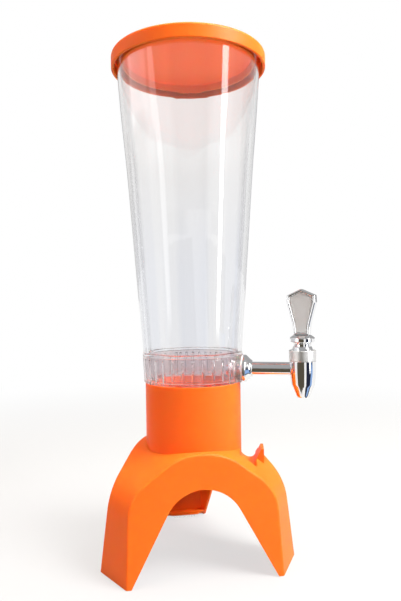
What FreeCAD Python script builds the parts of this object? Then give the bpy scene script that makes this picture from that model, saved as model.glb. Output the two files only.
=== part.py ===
import FreeCAD, Part
import math
import os
from FreeCAD import Vector

# Beer tower dispenser: a fluted clear cup standing in a collar on a moulded tripod, with a lever tap.
# Millimetres. +Z is up, the origin is on the tower's axis at the floor, and azimuths turn from +X to +Y.

# Small edges of turned and moulded pieces
edge_break = 0.5
corner_break = 1.0

# Tripod base
leg_count = 3
first_leg_azimuth = -22.05
base_height = 114.0
shell_wall = 3.0
leg_reach = 97.4            # leg's outer face from the axis, at the floor
leg_width = 47.2            # across a leg's outer face, at the floor
leg_lean = 0.094            # inward run of a leg's outer face per unit of height
side_margin = 3.9           # from the collar socket's wall to a side face, at the top
shoulder_flat = 28.0        # flat top from the axis to the start of a shoulder
shoulder_radius = 48.0
shoulder_slope = 38.0
knee_radius = 45.0
edge_rounding = 3.0
arch_radius = 38.7
arch_drop = 70.7            # centre of an arch's round top below the top of the base
foot_side = 4.5             # width of a foot along the side face, at the floor
sole_height = 3.0           # underside of a sole above the leg's rim
sole_thickness = 3.0
sole_depth = 12.5           # from the leg's outer face at the floor

# Notch with its horn, askew across the shoulder of the first leg
notch_gap = 8.9             # notch's middle from the collar's outside, on the leg's middle
notch_drop = 16.5           # centre of the notch's round bottom below the top of the base
notch_radius = 8.2
notch_skew = 17.0           # turn from straight across the leg
notch_front = 13.0          # from the leg's middle to the closed end
horn_lean = 0.5             # outward run of the horn's inner face per unit of height
horn_thickness = 2.8        # at its tip
horn_drop = 6.6             # horn's tip below the top of the base
horn_start = 4.0
horn_end = 26.0

# Foot pads
pad_end_gap = 10.6          # from a pad's end to the leg's corner
pad_width = 5.5
pad_recess = 0.8            # depth of a pad in its sole
pad_drop = 0.5              # a pad stands out below the leg's rim by this much
pad_inset = 3.6             # from the leg's outer face at the floor

# Collar
collar_radius = 48.4
collar_wall = 2.8
collar_top = 174.7
collar_seat_depth = 23.0    # collar's foot below the top of the base
socket_plate = 3.0
socket_clearance = 0.15
flange_thickness = 5.0
flange_width = 11.0
screw_radius = 2.0
screw_head_radius = 4.0
screw_head_height = 2.6
screw_bite = 4.0            # length of screw in the collar's flange
screw_clearance = 0.25
drain_radius = 20.0

# Cup
cup_height = 299.0          # from the step to the rim
cup_rim_radius = 73.2
cup_wall = 2.8
floor_rise = 4.2            # inside of the cup's floor above the collar's top
floor_thickness = 2.0
floor_rounding = 2.0
step_rise = 26.9            # cup's step above the collar's top
step_width = 3.4
flute_count = 8
first_flute_azimuth = 2.0
flute_angle = 36.0
flute_depth = 0.8
flute_drop = 52.6           # crown of a flute's arch below the rim
flute_arch_height = 21.0

# Grip skirt with its plug
skirt_overhang = 1.2        # skirt's lower edge beyond the collar
skirt_flare = 1.2           # skirt's upper edge beyond its lower edge
skirt_plate = 2.3
skirt_clearance = 0.15
rib_count = 32
rib_groove_radius = 1.6
rib_groove_depth = 0.7
plug_depth = 16.0
plug_wall = 4.0
plug_clearance = 0.7
o_ring_section = 1.6
o_ring_drop = 8.5           # from the collar's top
o_ring_gap = 0.3

# Lid
lid_skirt = 13.9
lid_wall = 2.6
lid_top_thickness = 3.0
lid_seat_gap = 0.2
lid_rim_clearance = 2.2     # between the cup's rim and the lid's skirt
lid_edge_rounding = 3.0
plug_ring_clearance = 2.8   # between the cup's mouth and the lid's inner ring
plug_ring_wall = 2.2
plug_ring_depth = 7.6
lid_seal_section = 2.4
lid_seal_gap = 0.3

# Tap shank, washers and lock nut; u runs outward along the tap from the tower's axis
tap_azimuth = -14.0
tap_drop = 13.9             # tap's axis below the cup's step
tap_reach = 58.2            # from the outer washer to the faucet's axis
thread_radius = 5.5
thread_clearance = 0.3
shank_bore = 3.8
shank_fit = 0.15            # shank's radius over the bore of the coupling washer's seat
valve_chamber_radius = 5.3
valve_chamber_length = 15.0
boss_radius = 15.5
boss_proud = 0.4            # boss's outer face beyond the cup's step
boss_depth = 1.0            # boss's inner face inside the cup's wall
washer_radius = 12.5
inner_washer_radius = 8.5
flange_washer_thickness = 1.5
inner_washer_thickness = 2.1
lock_nut_flats = 15.0
lock_nut_thickness = 5.0
thread_past_nut = 2.0
tap_flange_radius = 13.5
tap_flange_length = 8.8
tap_flange_rim = 2.4        # straight part of the cover's rim
tap_flange_nose = 1.6       # length and width of the small end ring
tap_flange_rounding = 1.8
tap_flange_cove = 5.0

# Faucet
faucet_rise = 18.6          # top of the bonnet above the tap's axis
bonnet_height = 10.5
bonnet_proud = 0.1          # bonnet's radius beyond the body's
bonnet_lip_chamfer = 0.9
body_radius = 13.0
body_waist_radius = 12.6
body_waist_rounding = 60.0
body_low_radius = 11.5
body_low_rounding = 9.0
body_round_height = 12.0
nozzle_drop = 27.5          # nozzle's mouth below the tap's axis
nozzle_radius = 6.1
nozzle_flare = 0.9
nozzle_lip = 1.6
nozzle_rounding = 2.0
nozzle_bore = 4.4
chamber_radius = 8.2
guide_clearance = 0.1
guide_run_out = 1.5
coupling_seat_depth = 2.9
coupling_washer_thickness = 1.5
coupling_washer_hole = 3.4

# Lever and handle
ball_radius = 10.3
ball_drop = 1.8             # ball's centre below the bonnet's top
ball_clearance = 0.1
ball_washer_radius = 10.0
ball_washer_hole = 5.0
ball_washer_height = 3.0
neck_rise = 5.5             # flat on the ball, above its centre
finger_radius = 1.6
finger_ball_radius = 2.2
stud_radius = 2.4
stud_length = 20.0
stud_clearance = 0.05
bead_radius = 12.2
bead_rise = 10.1            # underside of the bead above the ball's centre
bead_height = 5.2
bead_cove = 1.8
bead_crown = 1.4
bead_rounding = 0.8
ferrule_tip = 0.8           # from the bead to the paddle
ferrule_tip_flare = 0.6
handle_height = 45.5
handle_azimuth = -25.0      # direction of the paddle's width
handle_foot_half = 7.8
handle_bend_half = 8.4
handle_bend_height = 10.2
handle_bend_rounding = 40.0
handle_corner_half = 14.2
handle_corner_height = 32.0
handle_corner_rounding = 5.0
handle_shoulder_half = 13.8
handle_shoulder_height = 39.4
handle_thickness = 9.6
handle_rim = 2.6
handle_rounding = 0.8
panel_recess = 2.0
panel_thickness = 1.2
panel_gap = 0.1

# Valve shaft
shaft_head_radius = 6.3
shaft_head_back = 3.6       # from the finger's place, towards the tower
shaft_head_front = 6.2
shaft_rod_radius = 2.2
pocket_clearance = 0.4
pocket_flare = 1.9
seal_side_gap = 0.4
seal_thickness = 3.0
seal_gap = 0.05
seal_nut_radius = 3.6
seal_nut_thickness = 2.5
groove_radius = 1.5
groove_angles = (210.0, 270.0, 330.0)

# Heights, from the floor up
axis_up = Vector(0, 0, 1)
socket_floor = base_height - collar_seat_depth
arch_centre_height = base_height - arch_drop
notch_height = base_height - notch_drop
cup_floor = collar_top + floor_rise
step_height = collar_top + step_rise
cup_rim_height = step_height + cup_height
flute_top = cup_rim_height - flute_drop
lid_underside = cup_rim_height + lid_seat_gap
lid_top = lid_underside + lid_top_thickness
tap_height = step_height - tap_drop
nozzle_bottom = tap_height - nozzle_drop
faucet_top = tap_height + faucet_rise
bonnet_bottom = faucet_top - bonnet_height
ball_height = faucet_top - ball_drop
neck_height = ball_height + neck_rise
bead_bottom = ball_height + bead_rise
bead_top = bead_bottom + bead_height
handle_bottom = bead_top + ferrule_tip
stud_top = neck_height + stud_length
o_ring_height = collar_top - o_ring_drop

# Reaches from the tower's axis
far = 3 * leg_reach
side_azimuths = [first_leg_azimuth + (i - 0.5) * 360.0 / leg_count for i in range(leg_count)]
leg_azimuths = [first_leg_azimuth + i * 360.0 / leg_count for i in range(leg_count)]
half_turn_of_leg = math.pi / leg_count
side_reach = leg_reach * math.cos(half_turn_of_leg) + leg_width / 2 * math.sin(half_turn_of_leg)
side_half = (leg_reach - side_reach * math.cos(half_turn_of_leg)) / math.sin(half_turn_of_leg)
socket_radius = collar_radius + socket_clearance
side_top_reach = socket_radius + shell_wall + side_margin
side_lean = (side_reach - side_top_reach) / base_height
collar_bore = collar_radius - collar_wall
notch_reach = collar_radius + notch_gap
skirt_radius = collar_radius + skirt_overhang
cup_step_radius = skirt_radius + skirt_flare
neck_radius = cup_step_radius - step_width
plug_radius = collar_bore - plug_clearance
o_ring_reach = collar_bore - o_ring_gap
lid_radius = cup_rim_radius + lid_rim_clearance + lid_wall
plug_ring_radius = cup_rim_radius - cup_wall - plug_ring_clearance
boss_face = cup_step_radius + boss_proud
boss_inner_face = neck_radius - cup_wall - boss_depth
washer_face = boss_face + flange_washer_thickness
lock_nut_face = boss_inner_face - inner_washer_thickness
faucet_reach = washer_face + tap_reach
shank_end = faucet_reach - body_radius + coupling_seat_depth - coupling_washer_thickness
guide_bore = shaft_head_radius + guide_clearance
shank_radius = guide_bore + shank_fit
bonnet_radius = body_radius + bonnet_proud
seal_radius = valve_chamber_radius - seal_side_gap
ball_neck_radius = math.sqrt(ball_radius ** 2 - neck_rise ** 2)


def polar(radius, azimuth, z=0.0):
    angle = math.radians(azimuth)
    return Vector(radius * math.cos(angle), radius * math.sin(angle), z)


def turned(shape, azimuth):
    """The shape turned about the tower's axis."""
    shape.rotate(Vector(0, 0, 0), axis_up, azimuth)
    return shape


def outline(corners):
    """A face in the XZ plane. A corner is (x, z) or, where it is rounded, (x, z, radius)."""
    points = [Vector(c[0], 0, c[1]) for c in corners]
    stations = []
    for i, corner in enumerate(corners):
        here = points[i]
        if len(corner) < 3:
            stations.append((here, None, here))
            continue
        back = (points[i - 1] - here).normalize()
        ahead = (points[(i + 1) % len(points)] - here).normalize()
        half = back.getAngle(ahead) / 2
        run = corner[2] / math.tan(half)
        middle = (back + ahead).normalize()
        centre = here + middle * (corner[2] / math.sin(half))
        stations.append((here + back * run, centre - middle * corner[2], here + ahead * run))
    edges = []
    for i, (enter, middle, leave) in enumerate(stations):
        before = stations[i - 1][2]
        if before.distanceToPoint(enter) > Part.Precision.confusion():
            edges.append(Part.LineSegment(before, enter).toShape())
        if middle is not None:
            edges.append(Part.Arc(enter, middle, leave).toShape())
    return Part.Face(Part.Wire(edges))


def arched(low_half, low, high_half, high, crown):
    """A face in the XZ plane with leaning straight sides and a round top."""
    left = Vector(-high_half, 0, high)
    right = Vector(high_half, 0, high)
    foot_left = Vector(-low_half, 0, low)
    foot_right = Vector(low_half, 0, low)
    return Part.Face(Part.Wire([
        Part.LineSegment(foot_left, left).toShape(),
        Part.Arc(left, Vector(0, 0, crown), right).toShape(),
        Part.LineSegment(right, foot_right).toShape(),
        Part.LineSegment(foot_right, foot_left).toShape(),
    ]))


def across(face, low, high):
    """A prism from a face in the XZ plane, running along Y from low to high."""
    face.translate(Vector(0, low, 0))
    return face.extrude(Vector(0, high - low, 0))


def spun(corners, x=0.0):
    """A body of revolution about the upright axis at x; corners are (radius, z)."""
    body = outline(corners).revolve(Vector(0, 0, 0), axis_up, 360)
    body.translate(Vector(x, 0, 0))
    return body


def spun_along(corners):
    """A body of revolution about the tap's axis; corners are (u, radius)."""
    body = outline(corners).revolve(Vector(0, 0, 0), Vector(1, 0, 0), 360)
    body.translate(Vector(0, 0, tap_height))
    return body


def upright(radius, low, high, x=0.0, y=0.0):
    return Part.makeCylinder(radius, high - low, Vector(x, y, low), axis_up)


def along(radius, low, high):
    return Part.makeCylinder(radius, high - low, Vector(low, 0, tap_height), Vector(1, 0, 0))


def ring(outer, inner, low, high, x=0.0):
    return spun([(inner, low), (outer, low), (outer, high), (inner, high)], x)


def meeting(first, second):
    """The point where two lines meet, each (angle of its normal, distance from the origin)."""
    (a, d), (b, e) = first, second
    cross = math.sin(b - a)
    return (d * math.sin(b) - e * math.sin(a)) / cross, (e * math.cos(a) - d * math.cos(b)) / cross


def common_of(solids):
    result = solids[0]
    for solid in solids[1:]:
        result = result.common(solid)
    return result


def save(name, shape):
    shape.exportStep(f"parts/{name}.step")


# Tripod base


def leg_side_view(inset, bottom):
    """A leg from its foot up the outer face and over the shoulder, as (reach, z)."""
    slope = math.radians(shoulder_slope)
    start = shoulder_flat + shoulder_radius * math.tan(slope / 2)
    top = (math.pi / 2, base_height - inset)
    shoulder_reach = start * math.sin(slope) + base_height * math.cos(slope)
    shoulder = (math.pi / 2 - slope, shoulder_reach - inset)
    lean = math.atan(leg_lean)
    face = (lean, leg_reach * math.cos(lean) - inset)
    knee = meeting(face, shoulder)
    brow = meeting(shoulder, top)
    foot = (face[1] - bottom * math.sin(lean)) / math.cos(lean)
    return outline([
        (-far, bottom),
        (foot, bottom),
        (knee[0], knee[1], knee_radius - inset),
        (brow[0], brow[1], shoulder_radius - inset),
        (-far, base_height - inset),
    ])


def side_view(inset, bottom):
    """The half of the base behind a leaning side face, as (reach, z)."""
    reach = side_reach - inset / math.cos(math.atan(side_lean))
    return outline([
        (-far, bottom),
        (reach - side_lean * bottom, bottom),
        (reach - side_lean * base_height, base_height),
        (-far, base_height),
    ])


def tripod_block(inset, bottom):
    """The three-cornered form between the leaning side faces, the leg faces and the shoulders."""
    prisms = [turned(across(leg_side_view(inset, bottom), -far, far), a) for a in leg_azimuths]
    prisms += [turned(across(side_view(inset, bottom), -far, far), a) for a in side_azimuths]
    return common_of(prisms)


def side_edges(block):
    """The edges round each side face, without those on the floor."""
    found = []
    for azimuth in side_azimuths:
        normal = polar(1, azimuth, side_lean).normalize()
        for face in block.Faces:
            if face.normalAt(0, 0).getAngle(normal) < math.radians(1):
                found += [e for e in face.Edges if e.BoundBox.ZMax > pad_drop + edge_rounding]
    return found


def arch_cut(azimuth):
    """An arch through one side of the shell; its straight sides run from the feet to the round top."""
    foot = side_half - foot_side
    span = math.hypot(foot, arch_centre_height)
    lean = math.acos(arch_radius / span) - math.atan2(arch_centre_height, foot)
    half = arch_radius * math.cos(lean)
    high = arch_centre_height + arch_radius * math.sin(lean)
    low_half = half + (high + arch_centre_height) * math.tan(lean)
    tunnel = arched(low_half, -arch_centre_height, half, high, arch_centre_height + arch_radius)
    return turned(across(tunnel, drain_radius, far), azimuth - 90.0)


def beside_notch(outline, start, length):
    """A solid along the notch, from its outline's distances out of the notch's middle and heights."""
    points = [Vector(out, start, height) for out, height in outline + outline[:1]]
    solid = Part.Face(Part.Wire(Part.makePolygon(points))).extrude(Vector(0, length, 0))
    solid = turned(solid, notch_skew)
    solid.translate(Vector(notch_reach, 0, 0))
    return turned(solid, first_leg_azimuth)


def notch_prism(grow):
    """The notch, open upwards beside the leaning horn, and open at the leg's rear side."""
    radius = notch_radius + grow
    front = -notch_front - grow
    top = notch_height + far
    bottom = Part.makeCylinder(radius, far, Vector(0, front, notch_height), Vector(0, 1, 0))
    bottom = turned(bottom, notch_skew)
    bottom.translate(Vector(notch_reach, 0, 0))
    slot = [(-radius, notch_height), (radius, notch_height), (radius + horn_lean * far, top), (-radius, top)]
    return turned(bottom, first_leg_azimuth).fuse(beside_notch(slot, front, far))


def horn():
    """A fin along the notch's outer side that leans outwards."""
    foot = notch_height - notch_radius
    tip = base_height - horn_drop
    inner = notch_radius + horn_lean * (tip - notch_height)
    outer = inner + horn_thickness
    outline = [(notch_radius, foot), (notch_radius, notch_height), (inner, tip), (outer, tip), (outer, foot)]
    return beside_notch(outline, horn_start, horn_end - horn_start)


def screw_places():
    return [polar(collar_bore - flange_width / 2, a) for a in leg_azimuths]


def sole(azimuth):
    """The plate that closes a foot, behind its outer face."""
    low = pad_drop + sole_height
    plate = Part.makeBox(sole_depth, far, sole_thickness, Vector(leg_reach - sole_depth, -far / 2, low))
    return turned(plate, azimuth)


def foot_pad(azimuth):
    """A rubber bar with round ends, let into a sole."""
    middle = leg_reach - pad_inset - pad_width / 2
    half = leg_width / 2 - pad_end_gap - pad_width / 2
    height = pad_drop + sole_height + pad_recess
    bar = Part.makeBox(pad_width, 2 * half, height, Vector(middle - pad_width / 2, -half, 0))
    for end in (-half, half):
        bar = bar.fuse(upright(pad_width / 2, 0, height, middle, end))
    return turned(bar.removeSplitter(), azimuth)


def tripod_base():
    block = tripod_block(0.0, pad_drop)
    outer = block.makeFillet(edge_rounding, side_edges(block))
    inner_walls = upright(socket_radius + shell_wall, socket_floor - socket_plate, base_height)
    inner_walls = inner_walls.fuse([notch_prism(shell_wall)] + [sole(a) for a in leg_azimuths])
    base = outer.cut(tripod_block(shell_wall, pad_drop)).fuse(inner_walls.common(outer))
    for azimuth in side_azimuths:
        base = base.cut(arch_cut(azimuth))
    base = base.cut(upright(socket_radius, socket_floor, base_height + shell_wall))
    base = base.cut(upright(drain_radius, 0, base_height))
    for place in screw_places():
        base = base.cut(upright(screw_radius + screw_clearance, 0, base_height, place.x, place.y))
    base = base.fuse(horn())
    base = base.cut(notch_prism(0.0))
    for azimuth in leg_azimuths:
        base = base.cut(foot_pad(azimuth))
    return base.removeSplitter()


# Collar


def collar_tube():
    tube = ring(collar_radius, collar_bore, socket_floor, collar_top)
    tube = tube.fuse(ring(collar_bore, collar_bore - flange_width, socket_floor, socket_floor + flange_thickness))
    for place in screw_places():
        tube = tube.cut(upright(screw_radius, socket_floor, socket_floor + screw_bite, place.x, place.y))
    return tube.removeSplitter()


def collar_screws():
    under = socket_floor - socket_plate
    solids = []
    for place in screw_places():
        shank = upright(screw_radius, under, socket_floor + screw_bite, place.x, place.y)
        head = spun([
            (0, under - screw_head_height),
            (screw_head_radius, under - screw_head_height, screw_head_height / 2),
            (screw_head_radius, under),
            (0, under),
        ])
        head.translate(place)
        solids.append(shank.fuse(head).removeSplitter())
    return Part.makeCompound(solids)


# Cup


def cup_radius(z):
    """Outer radius of the plain cone."""
    return cup_step_radius + (z - step_height) / cup_height * (cup_rim_radius - cup_step_radius)


def flute_cut(azimuth):
    """An arched panel, flatter than the cone round it, as deep as flute_depth at its middle."""
    half = math.radians(flute_angle / 2)
    shoulder = flute_top - flute_arch_height
    low_half = cup_radius(step_height) * math.sin(half)
    high_half = cup_radius(shoulder) * math.sin(half)
    panel = across(arched(low_half, step_height, high_half, shoulder, flute_top), neck_radius / 2, far)
    sections = []
    for z in (step_height - cup_wall, cup_rim_height):
        radius = cup_radius(z)
        chord = radius * math.sin(half)
        sag = radius * (1 - math.cos(half)) - flute_depth * radius / cup_step_radius
        flat_radius = (chord ** 2 + sag ** 2) / (2 * sag)
        middle = radius * math.cos(half) + sag - flat_radius
        sections.append(Part.Wire(Part.makeCircle(flat_radius, Vector(0, middle, z), axis_up)))
    core = Part.makeLoft(sections, True, True)
    return turned(panel.cut(core), azimuth - 90.0)


def shank_hole():
    return turned(along(thread_radius + thread_clearance, 0, far), tap_azimuth)


def cup():
    inner_neck = neck_radius - cup_wall
    inner_step = step_height + 2 * cup_wall
    body = spun([
        (0, cup_floor - floor_thickness),
        (neck_radius, cup_floor - floor_thickness, corner_break),
        (neck_radius, step_height),
        (cup_step_radius, step_height),
        (cup_rim_radius, cup_rim_height, cup_wall / 3),
        (cup_rim_radius - cup_wall, cup_rim_height, cup_wall / 3),
        (cup_radius(inner_step) - cup_wall, inner_step),
        (inner_neck, step_height - cup_wall),
        (inner_neck, cup_floor, floor_rounding),
        (0, cup_floor),
    ])
    for i in range(flute_count):
        body = body.cut(flute_cut(first_flute_azimuth + 360.0 / flute_count * i))
    boss = turned(along(boss_radius, boss_inner_face, neck_radius), tap_azimuth)
    room = upright(neck_radius, cup_floor - floor_thickness / 2, step_height)
    return body.fuse(boss.common(room)).cut(shank_hole()).removeSplitter()


def grip_skirt():
    """The ribbed ring under the cup's step, with the plug that drops into the collar."""
    inner = neck_radius + skirt_clearance
    plug_inner = plug_radius - plug_wall
    plug_bottom = collar_top - plug_depth
    plate_top = cup_floor - floor_thickness
    body = spun([
        (plug_inner, plug_bottom),
        (plug_radius, plug_bottom, corner_break),
        (plug_radius, collar_top),
        (skirt_radius, collar_top, edge_break),
        (cup_step_radius, step_height),
        (inner, step_height),
        (inner, plate_top),
        (plug_inner, plate_top),
    ])
    for i in range(rib_count):
        place = polar(skirt_radius + rib_groove_radius - rib_groove_depth, 360.0 / rib_count * i)
        body = body.cut(upright(rib_groove_radius, collar_top, step_height - skirt_plate, place.x, place.y))
    boss = turned(along(boss_radius, neck_radius, boss_face), tap_azimuth)
    body = body.fuse(boss.common(ring(2 * skirt_radius, inner, collar_top, step_height)))
    groove_floor = o_ring_reach - 2 * o_ring_section
    groove = ring(plug_radius, groove_floor, o_ring_height - o_ring_section, o_ring_height + o_ring_section)
    return body.cut(groove).cut(shank_hole()).removeSplitter()


def plug_o_ring():
    return Part.makeTorus(o_ring_reach - o_ring_section, o_ring_section, Vector(0, 0, o_ring_height), axis_up)


# Lid


def lid():
    rim = lid_top - lid_skirt
    inside = lid_radius - lid_wall
    ring_low = lid_underside - plug_ring_depth
    ring_inner = plug_ring_radius - plug_ring_wall
    return spun([
        (0, lid_underside),
        (ring_inner, lid_underside),
        (ring_inner, ring_low),
        (plug_ring_radius, ring_low, edge_break),
        (plug_ring_radius, lid_underside),
        (inside, lid_underside, corner_break),
        (inside, rim),
        (lid_radius, rim, edge_break),
        (lid_radius, lid_top, lid_edge_rounding),
        (0, lid_top),
    ])


def lid_seal():
    """A flat-sided ring round the lid's inner ring, just short of the cup's wall."""
    middle = lid_underside - plug_ring_depth / 2
    low = middle - lid_seal_section / 2
    outer = cup_radius(low) - cup_wall - lid_seal_gap
    return spun([
        (plug_ring_radius, low),
        (outer, low, edge_break),
        (outer, low + lid_seal_section, edge_break),
        (plug_ring_radius, low + lid_seal_section),
    ])


# Tap on the cup


def hexagon(flats, low, high):
    """A hexagonal prism along the tap's axis."""
    radius = flats / math.sqrt(3)
    angles = [math.radians(a) for a in range(0, 361, 60)]
    points = [Vector(low, radius * math.cos(a), tap_height + radius * math.sin(a)) for a in angles]
    return Part.Face(Part.makePolygon(points)).extrude(Vector(high - low, 0, 0))


def tap_shank():
    start = lock_nut_face - lock_nut_thickness - thread_past_nut
    chamber_start = shank_end - valve_chamber_length
    return spun_along([
        (start, shank_bore),
        (start, thread_radius, edge_break),
        (washer_face, thread_radius),
        (washer_face, shank_radius),
        (shank_end, shank_radius),
        (shank_end, valve_chamber_radius),
        (chamber_start, valve_chamber_radius),
        (chamber_start, shank_bore),
    ])


def tap_flange():
    """The domed cover that presses the outer washer on the skirt's flat."""
    end = washer_face + tap_flange_length
    nose = shank_radius + tap_flange_nose
    return spun_along([
        (washer_face, shank_radius),
        (washer_face, tap_flange_radius, edge_break),
        (washer_face + tap_flange_rim, tap_flange_radius, tap_flange_rounding),
        (end - tap_flange_nose, nose + edge_break, tap_flange_cove),
        (end, nose, edge_break),
        (end, shank_radius),
    ])


def washer(start, thickness, outer):
    return spun_along([
        (start, thread_radius),
        (start + thickness, thread_radius),
        (start + thickness, outer, edge_break),
        (start, outer, edge_break),
    ])


def flange_washer():
    return washer(boss_face, flange_washer_thickness, washer_radius)


def inner_washer():
    return washer(lock_nut_face, inner_washer_thickness, inner_washer_radius)


def lock_nut():
    low = lock_nut_face - lock_nut_thickness
    corner = lock_nut_flats / math.sqrt(3)
    turned_form = spun_along([
        (low, 0),
        (low, lock_nut_flats / 2),
        (low + corner - lock_nut_flats / 2, corner),
        (lock_nut_face, corner),
        (lock_nut_face, 0),
    ])
    nut = hexagon(lock_nut_flats, low, lock_nut_face).common(turned_form)
    return nut.cut(along(thread_radius, low, lock_nut_face)).removeSplitter()


def faucet_body():
    """The bullet-shaped body: an upright chamber, a guide bore in line with the shank, and the nozzle."""
    waist = tap_height - nozzle_radius
    body = spun([
        (0, nozzle_bottom),
        (nozzle_radius, nozzle_bottom, edge_break),
        (nozzle_radius + nozzle_flare, nozzle_bottom + nozzle_lip, nozzle_rounding),
        (body_low_radius, nozzle_bottom + body_round_height, body_low_rounding),
        (body_waist_radius, waist, body_waist_rounding),
        (body_radius, bonnet_bottom),
        (0, bonnet_bottom),
    ], faucet_reach)
    body = body.cut(upright(nozzle_bore, nozzle_bottom, tap_height, faucet_reach))
    body = body.cut(upright(chamber_radius, tap_height, bonnet_bottom, faucet_reach))
    body = body.cut(along(guide_bore, shank_end, faucet_reach + shaft_head_front + guide_run_out))
    mouth = faucet_reach - 2 * body_radius
    return body.cut(along(shank_radius, mouth, shank_end + coupling_washer_thickness)).removeSplitter()


def coupling_washer():
    return spun_along([
        (shank_end, coupling_washer_hole),
        (shank_end + coupling_washer_thickness, coupling_washer_hole),
        (shank_end + coupling_washer_thickness, guide_bore),
        (shank_end, guide_bore),
    ])


def ball_room():
    return Part.makeSphere(ball_radius + ball_clearance, Vector(faucet_reach, 0, ball_height))


def lever_bonnet():
    """The ring that holds the lever's ball, with a chamfered lip."""
    washer_top = bonnet_bottom + ball_washer_height
    lip = ball_radius + ball_clearance
    body = spun([
        (ball_washer_radius, bonnet_bottom),
        (bonnet_radius, bonnet_bottom, edge_break),
        (bonnet_radius, faucet_top, edge_break),
        (lip + bonnet_lip_chamfer, faucet_top),
        (lip - bonnet_lip_chamfer, faucet_top - 2 * bonnet_lip_chamfer),
        (chamber_radius, washer_top),
        (ball_washer_radius, washer_top),
    ], faucet_reach)
    return body.cut(ball_room())


def ball_washer():
    washer_top = bonnet_bottom + ball_washer_height
    return ring(ball_washer_radius, ball_washer_hole, bonnet_bottom, washer_top, faucet_reach).cut(ball_room())


# Lever and handle


def tap_lever():
    """The ball, the finger that moves the valve shaft, and the stud that the handle screws on."""
    ball = Part.makeSphere(ball_radius, Vector(faucet_reach, 0, ball_height))
    ball = ball.cut(upright(2 * ball_radius, neck_height, neck_height + 2 * ball_radius, faucet_reach))
    finger = upright(finger_radius, tap_height, ball_height, faucet_reach)
    tip = Part.makeSphere(finger_ball_radius, Vector(faucet_reach, 0, tap_height))
    stud = upright(stud_radius, ball_height, stud_top, faucet_reach)
    return ball.fuse([finger, tip, stud]).removeSplitter()


def handle_ferrule():
    """The round neck and bead between the ball and the paddle."""
    bore = stud_radius + stud_clearance
    return spun([
        (bore, neck_height),
        (ball_neck_radius, neck_height),
        (ball_neck_radius, bead_bottom - bead_cove, bead_cove - edge_break),
        (bead_radius, bead_bottom, bead_rounding),
        (bead_radius, bead_top - bead_crown, bead_crown),
        (ball_neck_radius + ferrule_tip_flare, handle_bottom),
        (bore, handle_bottom),
    ], faucet_reach)


def paddle_front(inset):
    """The paddle's front view, shrunk by inset all round."""
    right = [
        (handle_foot_half, 0, corner_break),
        (handle_bend_half, handle_bend_height, handle_bend_rounding),
        (handle_corner_half, handle_corner_height, handle_corner_rounding),
        (handle_shoulder_half, handle_shoulder_height, edge_break),
    ]
    left = [(-half, height, rounding) for half, height, rounding in reversed(right)]
    corners = right + [(0, handle_height, corner_break)] + left
    face = outline([(half, handle_bottom + height, rounding) for half, height, rounding in corners])
    return face.makeOffset2D(-inset) if inset else face


def handle_turned(shape):
    """A piece drawn with its width along X, set on the faucet's axis and turned to the paddle's width."""
    shape.rotate(Vector(0, 0, 0), axis_up, handle_azimuth - tap_azimuth)
    shape.translate(Vector(faucet_reach, 0, 0))
    return shape


def handle_frame():
    half = handle_thickness / 2
    paddle = across(paddle_front(0), -half, half)
    flat_faces = [f for f in paddle.Faces if f.BoundBox.YLength < edge_break]
    paddle = paddle.makeFillet(handle_rounding, [e for f in flat_faces for e in f.Edges])
    for low, high in ((-half, -half + panel_recess), (half - panel_recess, half)):
        paddle = paddle.cut(across(paddle_front(handle_rim), low, high))
    return handle_turned(paddle.cut(upright(stud_radius + stud_clearance, handle_bottom, stud_top + stud_clearance)))


def handle_panel(side):
    """A thin inset panel; side is -1 for the front and 1 for the back."""
    depth = handle_thickness / 2 - panel_recess
    low, high = sorted((side * depth, side * (depth + panel_thickness)))
    return handle_turned(across(paddle_front(handle_rim + panel_gap), low, high))


# Valve


def valve_shaft():
    """The sliding shaft: a grooved head with a pocket for the finger, and the rod that carries the seal."""
    back = faucet_reach - shaft_head_back
    front = faucet_reach + shaft_head_front
    rod_end = shank_end - seal_gap - seal_thickness - seal_nut_thickness
    shaft = along(shaft_head_radius, back, front).fuse(along(shaft_rod_radius, rod_end, back))
    half = finger_ball_radius + pocket_clearance
    top = tap_height + shaft_head_radius
    pocket = outline([
        (faucet_reach - half, tap_height - half),
        (faucet_reach + half, tap_height - half),
        (faucet_reach + half, tap_height),
        (faucet_reach + half + pocket_flare, top),
        (faucet_reach - half, top),
    ])
    shaft = shaft.cut(across(pocket, -half, half))
    for angle in groove_angles:
        around = polar(shaft_head_radius, angle)
        place = Vector(back, around.x, tap_height + around.y)
        shaft = shaft.cut(Part.makeCylinder(groove_radius, front - back, place, Vector(1, 0, 0)))
    return shaft.removeSplitter()


def shaft_seal():
    high = shank_end - seal_gap
    low = high - seal_thickness
    return spun_along([
        (low, shaft_rod_radius),
        (high, shaft_rod_radius),
        (high, seal_radius, edge_break),
        (low, seal_radius, edge_break),
    ])


def seal_nut():
    high = shank_end - seal_gap - seal_thickness
    low = high - seal_nut_thickness
    return spun_along([
        (low, shaft_rod_radius),
        (high, shaft_rod_radius),
        (high, seal_nut_radius),
        (low, seal_nut_radius, edge_break),
    ])


os.makedirs("parts", exist_ok=True)
save("tripod_base", tripod_base())
for side, azimuth in zip(("right", "rear", "left"), leg_azimuths):
    save(f"foot_pad_{side}", foot_pad(azimuth))
tower_pieces = {
    "collar_tube": collar_tube,
    "collar_screws": collar_screws,
    "cup": cup,
    "grip_skirt": grip_skirt,
    "plug_o_ring": plug_o_ring,
    "lid": lid,
    "lid_seal": lid_seal,
}
for name, make in tower_pieces.items():
    save(name, make())

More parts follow.
